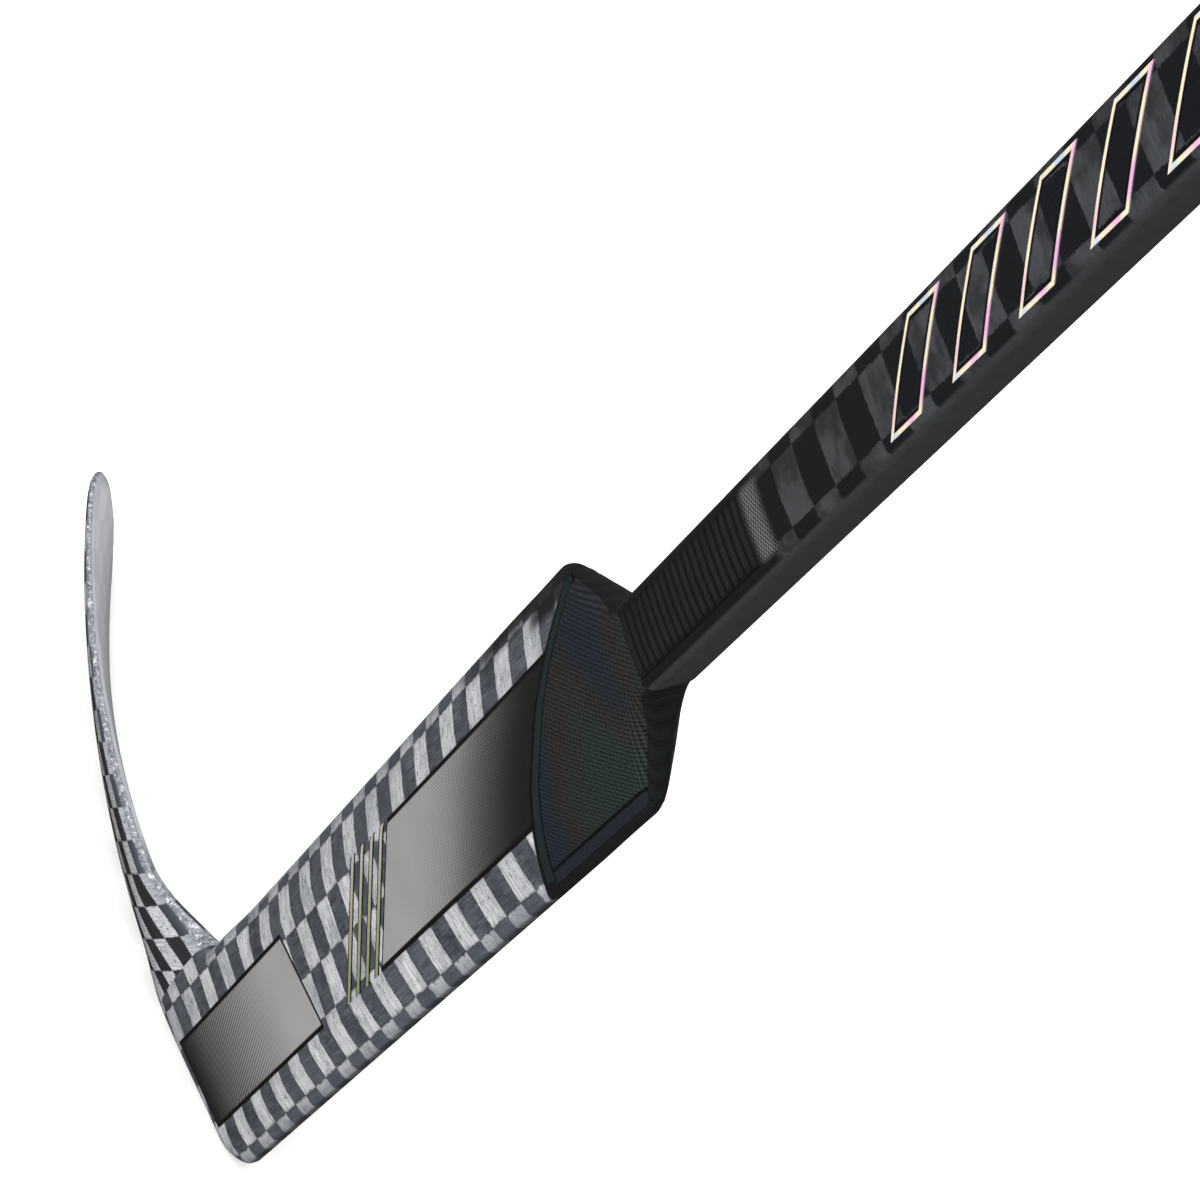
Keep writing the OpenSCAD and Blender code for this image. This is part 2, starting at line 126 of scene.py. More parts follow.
def half_thickness(p):
    w = across(p)
    u = along(p)
    blend = BLEND_SHARE * (1 - ease((u - BLEND_U) / (JOIN_U - BLEND_U)))
    flat_w = np.where(
        w > 0, np.minimum(w, HALF_W) * (1 - blend), np.maximum(w, -HALF_W))
    side = HEEL_HALF + (HALF_T - HEEL_HALF) * clip01(u / SHOULDER_U)
    taper = 1 + (TOE_SHARE - 1) * clip01((w - IN_W) / (TOE_X - IN_W))
    top = HEEL_H + (TOE_H - HEEL_H) * clip01(p[..., 0] / TOE_X)
    tall = 2 * p[..., 1] / top - 1
    swell = 1 - EDGE_THIN * ease((w - IN_W) / THIN_RUN) * np.minimum(1, tall**2)
    return np.minimum(crown(flat_w), side) * taper * swell


def shift(p):
    reach = clip01((p[..., 0] - BEND_X) / (TOE_X - BEND_X))
    lean = np.tan(OPEN_FACE * ease(reach / OPEN_BY))
    return p[..., 1] * lean - CURVE * reach**CURVE_POWER


def arc_line(centre, radius, start, stop, count=16):
    a = np.radians(np.linspace(start, stop, count))
    return np.stack(
        [centre[0] + radius * np.cos(a), centre[1] + radius * np.sin(a)], -1)


def pick(line, fractions):
    step = np.hypot(*np.diff(line, axis=0).T)
    run = np.concatenate([[0], np.cumsum(step)])
    at = np.asarray(fractions) * run[-1]
    return np.stack([np.interp(at, run, line[:, k]) for k in (0, 1)], -1)


RIM_STEPS = np.array([0, 0.00012, 0.0004, 0.0009, 0.0016, 0.0026, 0.004, 0.006, 0.009])
RIM_END = 0.013


def edge_spaced(length, step):
    count = int((length - 2 * RIM_END) / step) + 1
    middle = np.linspace(RIM_END, length - RIM_END, count)
    return np.concatenate([RIM_STEPS, middle, length - RIM_STEPS[::-1]]) / length


top_normal = np.array([HEEL_H - TOE_H, TOE_X - TOE_TOP_R])
top_normal /= np.hypot(*top_normal)
top_tilt = 90 - math.degrees(math.atan2(top_normal[1], top_normal[0]))
heel_w = HEEL_R - HALF_W
heel_centre = plan(heel_w, (HEEL_R + heel_w * COS_LIE) / SIN_LIE)
axis_dir = plan(0, 1)
crotch_u = CROTCH_R - (plan(HALF_W + CROTCH_R, 0) - (0, HEEL_H)) @ top_normal
crotch_centre = plan(HALF_W + CROTCH_R, crotch_u / (axis_dir @ top_normal))
toe_low_centre = np.array([TOE_X - TOE_LOW_R, TOE_LOW_R])
toe_top_x = TOE_X - TOE_TOP_R
toe_top_z = HEEL_H - (TOE_TOP_R + toe_top_x * top_normal[0]) / top_normal[1]
toe_top_centre = np.array([toe_top_x, toe_top_z])
heel_turn = 90 + math.degrees(LIE)
heel_half_turn = (heel_turn + 270) / 2
crotch_half_turn = (heel_turn + 270 - top_tilt) / 2
toe_half_turn = (90 - top_tilt) / 2
seam_foot = plan(HALF_W, HALF_W * COS_LIE / SIN_LIE)

outer_side = np.concatenate([
    arc_line(heel_centre, HEEL_R, heel_half_turn, heel_turn),
    [plan(-HALF_W, JOIN_U)]])
heel_sole = np.concatenate([
    arc_line(heel_centre, HEEL_R, heel_half_turn, 270), [seam_foot]])
crotch_half = arc_line(crotch_centre, CROTCH_R, crotch_half_turn, heel_turn)
inner_side = np.concatenate([crotch_half, [plan(HALF_W, JOIN_U)]])
seam = np.array([seam_foot, crotch_half[0]])
blade_sole = np.concatenate([
    [seam_foot], arc_line(toe_low_centre, TOE_LOW_R, 270, 315)])
blade_toe = np.concatenate([
    arc_line(toe_low_centre, TOE_LOW_R, 315, 360),
    arc_line(toe_top_centre, TOE_TOP_R, 0, toe_half_turn)])
blade_top = np.concatenate([
    arc_line(crotch_centre, CROTCH_R, crotch_half_turn, 270 - top_tilt),
    arc_line(toe_top_centre, TOE_TOP_R, 90 - top_tilt, toe_half_turn)])


def round_corner(a, b, c, radius, count=12):
    p = (a - b) / np.hypot(*(a - b))
    q = (c - b) / np.hypot(*(c - b))
    half = math.acos(p @ q) / 2
    middle = b + (p + q) / np.hypot(*(p + q)) * radius / math.sin(half)
    x = b + p * radius / math.tan(half) - middle
    y = b + q * radius / math.tan(half) - middle
    f = math.acos((x @ y) / radius**2)
    k = np.linspace(0, 1, count)[:, None]
    return middle + (x * np.sin(f * (1 - k)) + y * np.sin(f * k)) / math.sin(f)


shoulder_knots = np.array([
    [HALF_W, JOIN_U], [HALF_W, SHOULDER_U],
    [SHAFT_HALF_W, NECK_U], [SHAFT_HALF_W, NECK_U + 0.04]])
shoulder_line = np.concatenate([
    shoulder_knots[:1],
    round_corner(*shoulder_knots[:3], SHOULDER_R),
    round_corner(*shoulder_knots[1:], NECK_R),
    shoulder_knots[3:]])

CELL = 0.0045
BLADE_CELL = 0.0055
ROW_STEP = 0.006
ROW_STEP_END = 0.626
FINE_ROWS_U = 0.628
FINE_STEP = 0.0018
col_cut = edge_spaced(2 * HALF_W, CELL)
row_cut = edge_spaced(np.hypot(*(seam[1] - seam[0])), CELL)
blade_cut = edge_spaced(TOE_X - 0.020, BLADE_CELL)[len(RIM_STEPS):]
blade_cut = np.concatenate([np.linspace(0, blade_cut[0], 6)[:-1], blade_cut])
COLS = len(col_cut) - 1
ROWS = len(row_cut) - 1
BLADE_COLS = len(blade_cut) - 1
mid_rows = np.linspace(0, 1, 13)[1:]
upper_u = np.concatenate([
    np.arange(JOIN_U + ROW_STEP, ROW_STEP_END, ROW_STEP),
    np.arange(FINE_ROWS_U, BODY_TOP_U, FINE_STEP), [BODY_TOP_U]])
ALL_ROWS = ROWS + len(mid_rows) + len(upper_u)


def coons(low, high, left, right, col, row):
    c = col[:, None, None]
    r = row[None, :, None]
    corners = ((1 - c) * (1 - r) * low[0] + c * (1 - r) * low[-1]
               + (1 - c) * r * high[0] + c * r * high[-1])
    return ((1 - r) * low[:, None] + r * high[:, None]
            + (1 - c) * left[None] + c * right[None] - corners)


seam_rows = pick(seam, row_cut)
inner_rows = np.concatenate([seam_rows, pick(inner_side, mid_rows)])
outer_len = np.hypot(*(outer_side[-1] - outer_side[0]))
crotch_share = 1 - (JOIN_U - along(seam[1])) / outer_len
row_share = np.concatenate([
    row_cut * crotch_share, crotch_share + (1 - crotch_share) * mid_rows])
outer_rows = pick(outer_side, row_share)
heel_grid = coons(
    pick(heel_sole, col_cut), plan((2 * col_cut - 1) * HALF_W, JOIN_U),
    outer_rows, inner_rows, col_cut, row_share)
upper_half = np.interp(upper_u, shoulder_line[:, 1], shoulder_line[:, 0])
upper_grid = plan((2 * col_cut - 1)[:, None] * upper_half[None], upper_u[None])
body_grid = np.concatenate([heel_grid, upper_grid], 1)
blade_grid = coons(
    pick(blade_sole, blade_cut), pick(blade_top, blade_cut),
    seam_rows, pick(blade_toe, row_cut), blade_cut, row_cut)
border = np.concatenate([
    plan(-shoulder_line[::-1, 0], shoulder_line[::-1, 1]), outer_side[::-1],
    heel_sole[1:], blade_sole[1:], blade_toe[1:], blade_top[::-1], inner_side[1:],
    plan(shoulder_line[:, 0], shoulder_line[:, 1])])


def border_distance(p):
    flat = p.reshape(-1, 2)
    a = border[:-1]
    d = border[1:] - a
    keep = (d**2).sum(1) > 1e-14
    best = np.full(len(flat), 1.0)
    for start, side in zip(a[keep], d[keep]):
        t = clip01(((flat - start) @ side) / (side @ side))
        best = np.minimum(best, np.hypot(*(flat - start - t[:, None] * side).T))
    return best.reshape(p.shape[:-1])


ROUND_SHARE = 0.6
ROUND_MIN = 0.0015
ROUND_MAX = 0.0048
SOFT_SHARE = 0.88
WALL_THIN = 0.5
WALL_THIN_RUN = 0.030
WALL_THIN_DEEP = 0.0038
SOFT_FROM = 0.585
SOFT_RUN = 0.045
HARD_FROM = 0.680
HARD_RUN = 0.016


# Half the thickness with its edge rounded: more softly on the shoulders, and
# thinner along the blade's border.
def rounded_half(p, distance):
    h = half_thickness(p)
    u = along(p)
    soft = ease((u - SOFT_FROM) / SOFT_RUN) * (1 - ease((u - HARD_FROM) / HARD_RUN))
    r = np.clip(ROUND_SHARE * h, ROUND_MIN, ROUND_MAX)
    r = r + soft * (SOFT_SHARE * h - r)
    inside = np.minimum(distance, r)
    rounded = h - r + np.sqrt(np.maximum(r * r - (r - inside) ** 2, 0))
    thin = WALL_THIN * ease((across(p) - IN_W) / WALL_THIN_RUN)
    return rounded * (1 - thin * (1 - ease(distance / WALL_THIN_DEEP)))


def start_grid(name, cols, rows):
    bpy.ops.object.select_all(action="DESELECT")
    bpy.ops.mesh.primitive_grid_add(
        x_subdivisions=cols, y_subdivisions=rows, size=1,
        location=(cols / 2, rows / 2, 0))
    piece = bpy.context.object
    piece.name = name
    piece.data.name = name
    piece.scale = (cols, rows, 1)
    bpy.ops.object.transform_apply(location=True, rotation=True, scale=True)
    return piece


def thicken():
    bpy.ops.mesh.select_all(action="SELECT")
    bpy.ops.mesh.extrude_region_move(TRANSFORM_OT_translate={"value": (0, 0, 1)})
    bpy.ops.object.mode_set(mode="OBJECT")


def vertex_places(piece):
    co = np.empty(len(piece.data.vertices) * 3)
    piece.data.vertices.foreach_get("co", co)
    return co.reshape(-1, 3)


def counted(piece):
    return np.rint(vertex_places(piece)).astype(int)


def put_points(piece, points):
    piece.data.vertices.foreach_set("co", np.ascontiguousarray(points, float).ravel())
    piece.data.update()
    bpy.ops.object.mode_set(mode="EDIT")
    bpy.ops.mesh.select_all(action="SELECT")
    bpy.ops.mesh.normals_make_consistent(inside=False)
    bpy.ops.object.mode_set(mode="OBJECT")


def lay_out(piece, name, values):
    layer = piece.data.uv_layers.new(name=name)
    layer.data.foreach_set("uv", np.ascontiguousarray(values, float).ravel())


def mark_points(piece, name, values):
    layer = piece.data.attributes.new(name, "FLOAT", "POINT")
    layer.data.foreach_set("value", values)


def corner_vertices(piece):
    index = np.empty(len(piece.data.loops), int)
    piece.data.loops.foreach_get("vertex_index", index)
    return index


laminate = start_grid("laminate_body", COLS, ALL_ROWS)
bpy.ops.object.mode_set(mode="EDIT")
bpy.ops.mesh.select_all(action="DESELECT")
bpy.ops.object.mode_set(mode="OBJECT")
sheet_points = counted(laminate)
for edge in laminate.data.edges:
    ends = sheet_points[list(edge.vertices)]
    edge.select = bool((ends[:, 0] == COLS).all() and (ends[:, 1] <= ROWS).all())
bpy.ops.object.mode_set(mode="EDIT")
bpy.ops.mesh.select_mode(type="EDGE")
for step in range(BLADE_COLS):
    bpy.ops.mesh.extrude_region_move(TRANSFORM_OT_translate={"value": (1, 0, 0)})
thicken()

ids = counted(laminate)
on_blade = ids[:, 0] > COLS
place = np.where(
    on_blade[:, None],
    blade_grid[np.clip(ids[:, 0] - COLS, 0, BLADE_COLS), np.clip(ids[:, 1], 0, ROWS)],
    body_grid[np.clip(ids[:, 0], 0, COLS), ids[:, 1]])
rim_distance = border_distance(place)
side_sign = np.where(ids[:, 2] > 0, 1, -1)
face_y = shift(place) + side_sign * rounded_half(place, rim_distance)
put_points(laminate, np.stack([place[:, 0], face_y, place[:, 1]], -1))
bpy.ops.object.shade_smooth_by_angle(angle=math.radians(50))

# The cloth is laid flat on the paddle and follows the bend on the blade, where
# its tows cross at a slant.
BLADE_SHIFT = 10.0
CLOTH_LEAN = 0.745
BLADE_TOW = 1.25
reach_x = np.linspace(0, TOE_X, 200)
reach_y = shift(np.stack([reach_x, np.zeros(200)], -1))
reach_s = np.concatenate([[0], np.cumsum(np.hypot(np.diff(reach_x), np.diff(reach_y)))])
corner = corner_vertices(laminate)
face_sizes = [p.loop_total for p in laminate.data.polygons]
face_of = np.repeat(np.arange(len(face_sizes)), face_sizes)
face_col = np.zeros(len(face_sizes))
np.maximum.at(face_col, face_of, ids[corner, 0])
blade_corner = (face_col > COLS)[face_of]
flat_place = place[corner]
blade_s = np.interp(flat_place[:, 0], reach_x, reach_s)
lay_out(laminate, "cloth", np.where(
    blade_corner[:, None],
    np.stack([BLADE_SHIFT + BLADE_TOW * flat_place[:, 1],
              blade_s + CLOTH_LEAN * flat_place[:, 1]], -1),
    np.stack([across(flat_place), along(flat_place)], -1)))
mark_points(laminate, "rim", rim_distance)
mark_points(laminate, "pale", np.where(
    side_sign < 0, ease((place[:, 0] - 0.050) / 0.040) * on_blade, 0.0))


def add_node(tree, kind, inputs=None, **settings):
    made = tree.nodes.new(kind)
    for key, value in settings.items():
        setattr(made, key, value)
    for key, value in (inputs or {}).items():
        if isinstance(value, bpy.types.NodeSocket):
            tree.links.new(value, made.inputs[key])
        else:
            made.inputs[key].default_value = value
    return made


def calc(tree, operation, a, b=0.0):
    return add_node(
        tree, "ShaderNodeMath", {0: a, 1: b}, operation=operation).outputs[0]


def times(tree, a, b):
    return calc(tree, "MULTIPLY", a, b)


def one_minus(tree, value):
    return calc(tree, "SUBTRACT", 1.0, value)


def scaled_up(tree, value, scale, base):
    return calc(tree, "ADD", base, times(tree, value, scale))


def ramp(tree, value, low, high, start=0.0, stop=1.0):
    inputs = {"Value": value, 1: low, 2: high, 3: start, 4: stop}
    return add_node(
        tree, "ShaderNodeMapRange", inputs,
        interpolation_type="SMOOTHSTEP").outputs[0]


def mix_colour(tree, share, a, b):
    return add_node(
        tree, "ShaderNodeMix", {0: share, 6: a, 7: b}, data_type="RGBA",
        clamp_result=False).outputs[2]


def noise(tree, spot, scale, detail, rough=0.5, dimensions="2D"):
    return add_node(tree, "ShaderNodeTexNoise", {
        "Vector": spot, "Scale": scale, "Detail": detail, "Roughness": rough},
        noise_dimensions=dimensions)


def mapped(tree, spot, scale, location=(0, 0, 0), rotation=(0, 0, 0)):
    return add_node(tree, "ShaderNodeMapping", {
        "Vector": spot, "Location": location, "Rotation": rotation, "Scale": scale},
        vector_type="POINT").outputs[0]


def parts_of(tree, spot):
    return list(add_node(tree, "ShaderNodeSeparateXYZ", {0: spot}).outputs)


def layout(tree, name):
    return add_node(tree, "ShaderNodeUVMap", uv_map=name).outputs[0]


def object_place(tree):
    return add_node(tree, "ShaderNodeTexCoord").outputs["Object"]


def vector_calc(tree, operation, inputs):
    return add_node(
        tree, "ShaderNodeVectorMath", inputs, operation=operation).outputs[0]


def linear(red, green, blue):
    def one(v):
        v /= 255
        return v / 12.92 if v <= 0.04045 else ((v + 0.055) / 1.055) ** 2.4
    return (one(red), one(green), one(blue), 1.0)


def tint_ramp(tree, value, low, middle, high, start=0.0, stop=1.0):
    made = add_node(tree, "ShaderNodeValToRGB", {0: value})
    elements = made.color_ramp.elements
    elements[0].position = start
    elements[0].color = low
    elements[1].position = stop
    elements[1].color = high
    elements.new(0.5).color = middle
    return made.outputs[0]


def new_group(name, inputs, outputs):
    group = bpy.data.node_groups.new(name, "ShaderNodeTree")
    for label, kind in inputs.items():
        group.interface.new_socket(
            name=label, in_out="INPUT", socket_type="NodeSocket" + kind)
    for label, kind in outputs.items():
        group.interface.new_socket(
            name=label, in_out="OUTPUT", socket_type="NodeSocket" + kind)
    start = group.nodes.new("NodeGroupInput")
    stop = group.nodes.new("NodeGroupOutput")
    return group, start.outputs, stop


def use_group(tree, group, inputs):
    return add_node(tree, "ShaderNodeGroup", inputs, node_tree=group).outputs


def feed(tree, node, sources):
    for name, source in sources.items():
        tree.links.new(source, node.inputs[name])


def add_bump(tree, shader, strength, distance, height):
    bump = add_node(tree, "ShaderNodeBump", {
        "Strength": strength, "Distance": distance, "Height": height})
    feed(tree, shader, {"Normal": bump.outputs[0]})


def new_material(name, **values):
    material = bpy.data.materials.new(name)
    material.use_nodes = True
    tree = material.node_tree
    shader = tree.nodes["Principled BSDF"]
    for key, value in values.items():
        shader.inputs[key.replace("_", " ")].default_value = value
    return material, tree, shader


# Spread tow: flat bundles of carbon fibre cross over and under in squares.
# Place is counted in bundle widths, and Cross is 1 where the bundle that runs
# across the piece lies on top.
TOW = 0.0191
RAG_SIZE = 0.075
FIBRE_FINE = 26.0
FIBRE_LONG = 0.9
tow_group, tow_in, tow_out = new_group(
    "spread_tow", {"Place": "Vector", "Wander": "Float"},
    {"Cross": "Float", "Fibre": "Float", "Gap": "Float", "Fleck": "Float",
     "Cloud": "Float", "Lot": "Float", "Height": "Float"})
t = tow_group


def wobble(tree, spot, scale, detail, size):
    soft = noise(tree, spot, scale, detail, 0.6)
    centred = vector_calc(
        tree, "SUBTRACT", {0: soft.outputs["Color"], 1: (0.5, 0.5, 0.5)})
    return vector_calc(tree, "SCALE", {0: centred, "Scale": size})


drift = wobble(t, tow_in["Place"], 2.1, 3.0, tow_in["Wander"])
rag = wobble(t, tow_in["Place"], 17.0, 2.0, RAG_SIZE)
moved = vector_calc(t, "ADD", {0: tow_in["Place"], 1: drift})
moved = vector_calc(t, "ADD", {0: moved, 1: rag})
moved_x, moved_y = parts_of(t, moved)[:2]
cell_x = calc(t, "FLOOR", moved_x)
cell_y = calc(t, "FLOOR", moved_y)
cross = calc(t, "FLOORED_MODULO", calc(t, "ADD", cell_x, cell_y), 2.0)
from_middle = [
    calc(t, "ABSOLUTE", calc(t, "SUBTRACT", calc(t, "FRACT", moved_part), 0.5))
    for moved_part in (moved_x, moved_y)]
side_most = calc(t, "MAXIMUM", *from_middle)
fibre_way = add_node(t, "ShaderNodeMix", {
    0: cross, 4: mapped(t, moved, (FIBRE_FINE, FIBRE_LONG, 1.0)),
    5: mapped(t, moved, (FIBRE_LONG, FIBRE_FINE, 1.0))}, data_type="VECTOR")
fibre = noise(t, fibre_way.outputs[1], 1.0, 4.0, 0.65).outputs[0]
fleck_way = mapped(t, moved, (2.6, 11.0, 1.0), location=(3.1, 7.7, 0.0))
fleck = noise(t, fleck_way, 1.7, 2.0, 0.7).outputs[0]
cloud = noise(t, moved, 0.8, 5.0, 0.7).outputs[0]
lot_place = add_node(t, "ShaderNodeCombineXYZ", {0: cell_x, 1: cell_y})
lot = add_node(t, "ShaderNodeTexWhiteNoise", {"Vector": lot_place.outputs[0]},
               noise_dimensions="2D")
bulge = one_minus(t, calc(t, "POWER", times(t, side_most, 2.0), 6.0))
feed(t, tow_out, {
    "Cross": cross, "Fibre": fibre, "Gap": ramp(t, side_most, 0.455, 0.5),
    "Fleck": ramp(t, fleck, 0.60, 0.68), "Cloud": cloud, "Lot": lot.outputs[0],
    "Height": calc(t, "ADD", times(t, bulge, 0.8), times(t, fibre, 0.2))})

# Fine film: a thin black mesh with a faint blue, brown and green cast. It
# covers the shoulder, and shows faintly in the black around it.
MESH_X = 0.0022
MESH_Y = 0.0030
mesh_group, mesh_in, mesh_out = new_group(
    "fine_mesh", {"Place": "Vector", "Bright": "Float"},
    {"Colour": "Color", "Weave": "Float"})
t = mesh_group
mesh_place = mapped(
    t, mesh_in["Place"], (1 / MESH_X, 1 / MESH_Y, 1), rotation=(0, 0, math.radians(12)))
mesh_x, mesh_y = parts_of(t, mesh_place)[:2]


def wave(tree, value):
    return calc(tree, "SINE", times(tree, value, 2 * math.pi))


mesh_weave = calc(
    t, "ADD", times(t, times(t, wave(t, mesh_x), wave(t, mesh_y)), 0.5), 0.5)
mesh_tint = tint_ramp(
    t, noise(t, mesh_in["Place"], 13.0, 1.0).outputs[0],
    linear(36, 52, 66), linear(58, 54, 50), linear(44, 66, 62), 0.34, 0.68)
mesh_share = times(t, mesh_weave, mesh_in["Bright"])
feed(t, mesh_out, {
    "Colour": mix_colour(t, mesh_share, linear(12, 13, 15), mesh_tint),
    "Weave": mesh_weave})

# The coated cloth: pale and dark bundles are mottled, and the blade's are
# crisper, with its front face blended pale toward the toe. Painted shade
# with a bluish sheen darkens the cloth toward its rounded edges, the paddle's
# edge wall is painted dark as shade, and the blade's edge carries painted
# glints. The cloth ends in black around the shoulder's film.
PANEL_U = 0.372
PANEL_UP_LEN = 0.214
TRIM_U = PANEL_U + PANEL_UP_LEN + 0.016
SLANT = 1.55
BOW = 0.012
cloth_mat, t, cloth_shader = new_material(
    "checker_laminate", Roughness=0.38, Coat_Weight=0.85, Coat_Roughness=0.06, IOR=1.5)
cloth_uv = layout(t, "cloth")
cloth_w, cloth_u = parts_of(t, cloth_uv)[:2]
is_blade = calc(t, "GREATER_THAN", cloth_w, BLADE_SHIFT / 2)
is_paddle = one_minus(t, is_blade)
weave = use_group(t, tow_group, {
    "Place": mapped(t, cloth_uv, (1 / TOW, 1 / TOW, 1.0), location=(0.0, 0.35, 0.0)),
    "Wander": calc(t, "SUBTRACT", 0.09, times(t, is_blade, 0.05))})
fibre_streak = ramp(t, weave["Fibre"], 0.3, 0.7)
light_tow = mix_colour(t, fibre_streak, linear(158, 161, 165), linear(226, 227, 229))
light_tow = mix_colour(t, ramp(t, weave["Cloud"], 0.40, 0.68, 0.0, 0.65), light_tow,
                       linear(128, 132, 140))
light_tow = mix_colour(t, times(t, weave["Lot"], 0.30), light_tow,
                       linear(150, 153, 158))
light_blade = mix_colour(t, fibre_streak, linear(168, 171, 177), linear(222, 224, 228))
light_tow = mix_colour(t, times(t, is_blade, 0.7), light_tow, light_blade)
light_tow = mix_colour(t, weave["Fleck"], light_tow, linear(78, 81, 87))
dark_tow = mix_colour(t, fibre_streak, linear(44, 48, 55), linear(96, 101, 109))
dark_tow = mix_colour(t, ramp(t, weave["Cloud"], 0.42, 0.66, 0.0, 0.7), dark_tow,
                      linear(46, 51, 59))
dark_tow = mix_colour(t, times(t, weave["Lot"], 0.35), dark_tow, linear(92, 97, 105))
dark_blade = mix_colour(t, fibre_streak, linear(18, 19, 22), linear(62, 64, 69))
dark_tow = mix_colour(t, is_blade, dark_tow, dark_blade)
checker = mix_colour(t, weave["Cross"], dark_tow, light_tow)
checker = mix_colour(t, times(t, weave["Gap"], 0.5), checker, linear(34, 36, 41))
# The blade's front face is blended toward a bluish near white, more so toward the toe.
pale_face = add_node(t, "ShaderNodeAttribute", attribute_name="pale").outputs["Fac"]
checker = mix_colour(t, times(t, pale_face, 0.84), checker, linear(240, 243, 250))

rim = add_node(t, "ShaderNodeAttribute", attribute_name="rim").outputs["Fac"]
# Painted shade and sheen: toward the rounded edge the cloth is blended to a bluish
# grey, and on the paddle a dark line is painted along the edge wall as shade.
checker = mix_colour(t, ramp(t, rim, 0.0085, 0.001, 0.0, 0.5), checker,
                     linear(72, 79, 92))
painted_edge_wall_shade = times(t, ramp(t, rim, 0.0011, 0.0, 0.0, 0.62), is_paddle)
checker = mix_colour(t, painted_edge_wall_shade, checker, linear(20, 22, 26))
# Painted highlight: along the blade's thin edge the cloth gives way to a mottled grey
# band with bright specks painted in as glints.
glint = noise(t, object_place(t), 420.0, 4.0, 0.8, "3D").outputs[0]
edge_glint_grey = mix_colour(t, ramp(t, glint, 0.35, 0.62), linear(84, 87, 93),
                       linear(150, 153, 160))
edge_glint_grey = mix_colour(t, ramp(t, glint, 0.58, 0.63), edge_glint_grey, linear(236, 237, 238))
glint_edge = times(t, ramp(t, rim, 0.0014, 0.0003), is_blade)
checker = mix_colour(t, glint_edge, checker, edge_glint_grey)

side_black = times(
    t, ramp(t, cloth_w, 0.0345, 0.0415), ramp(t, cloth_u, 0.50, 0.575))
corner_black = times(
    t, ramp(t, cloth_w, 0.0300, 0.0350), ramp(t, cloth_u, 0.600, 0.625))
inner_black = times(t, calc(t, "MAXIMUM", side_black, corner_black), is_paddle)
checker = mix_colour(t, times(t, inner_black, 0.95), checker, linear(18, 19, 21))
bow_share = times(t, cloth_w, 1 / IN_W)
bow_share = one_minus(t, times(t, bow_share, bow_share))
trim_line = calc(t, "ADD", times(t, cloth_w, SLANT), TRIM_U)
trim_line = calc(t, "SUBTRACT", trim_line, times(t, bow_share, BOW))
above_trim = calc(t, "SUBTRACT", cloth_u, trim_line)
is_shoulder = times(t, ramp(t, above_trim, -0.0035, -0.0025), is_paddle)
grain = noise(t, cloth_uv, 900.0, 2.0).outputs[0]
shoulder_mesh = use_group(t, mesh_group, {"Place": cloth_uv, "Bright": 0.35})
shoulder_black = mix_colour(t, grain, linear(12, 13, 15), linear(24, 25, 28))
shoulder_black = mix_colour(t, 0.5, shoulder_black, shoulder_mesh["Colour"])
feed(t, cloth_shader, {
    "Base Color": mix_colour(t, is_shoulder, checker, shoulder_black),
    "Coat Weight": calc(t, "SUBTRACT", 0.85, times(t, is_shoulder, 0.6)),
    "Roughness": scaled_up(t, grain, 0.12, 0.34)})
add_bump(t, cloth_shader, 0.35, 0.00012, weave["Height"])
laminate.data.materials.append(cloth_mat)
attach(laminate, "root")
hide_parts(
    "paddle_back_skin", "paddle_front_skin", "paddle_inner_rail",
    "paddle_outer_rail", "heel_back_skin", "heel_front_skin", "heel_rail",
    "crotch_rail", "shoulder_cap", "blade_back_skin", "blade_front_skin",
    "blade_sole_rail", "toe_rail", "blade_top_rail")


# Printed panels: two thin films on each face of the paddle, framed in black
# and sealed under the coat. The lower one fades from pale metal to black
# toward the heel, the upper one toward the shoulder.
FACES = (("back", 1), ("front", -1))
FOIL_T = 0.00025
FOIL_SUNK = 0.0001
PANEL_HALF = 0.0225
PANEL_LOW_Z = 0.009
PANEL_HIGH_Z = 0.206
PANEL_LOW_LEN = 0.216
PANEL_COLS = 24
PANEL_ROWS = 90
SHAFT_R = 0.005
INK_BLACK = linear(10, 10, 12)


def surface_half(p):
    w = np.abs(across(p))
    corner_w = np.clip(w - (SHAFT_HALF_W - SHAFT_R), 0, SHAFT_R)
    tube = HALF_T - SHAFT_R + np.sqrt(SHAFT_R**2 - corner_w**2)
    tube = np.minimum(tube, crown(np.minimum(w, HALF_W)))
    return np.where(along(p) > BODY_TOP_U, tube, rounded_half(p, border_distance(p)))


# A thin layer on the face: spot gives its places from shares of width and length.
def film(name, cols, rows, spot, side, thick=FOIL_T):
    piece = start_grid(name, cols, rows)
    bpy.ops.object.mode_set(mode="EDIT")
    thicken()
    cell = counted(piece)
    a = cell[:, 0] / cols
    b = cell[:, 1] / rows
    p = spot(a, b)
    lift = np.where(cell[:, 2] > 0, thick, -FOIL_SUNK)
    y = shift(p) + side * (surface_half(p) + lift)
    put_points(piece, np.stack([p[:, 0], y, p[:, 1]], -1))
    bpy.ops.object.shade_smooth_by_angle(angle=math.radians(40))
    at = corner_vertices(piece)
    lay_out(piece, "cloth", np.stack([across(p), along(p)], -1)[at])
    lay_out(piece, "sheet", np.stack([a, b], -1)[at])
    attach(piece, "root")
    return piece


def wrap_line(w):
    return TRIM_U + SLANT * w - BOW * (1 - (w / IN_W) ** 2)


def low_panel(a, b):
    w = (2 * a - 1) * PANEL_HALF
    z = PANEL_LOW_Z + b * (PANEL_HIGH_Z - PANEL_LOW_Z)
    return plan(w, (z + w * COS_LIE) / SIN_LIE)


def high_panel(a, b):
    w = (2 * a - 1) * PANEL_HALF
    low_u = PANEL_U + SLANT * w
    return plan(w, low_u + b * (wrap_line(w) - low_u))


# How far a place lies from the nearer end of a film of that length.
def from_ends(tree, share, length):
    off_middle = calc(tree, "ABSOLUTE", calc(tree, "SUBTRACT", share, 0.5))
    return times(tree, calc(tree, "SUBTRACT", 0.5, off_middle), length)


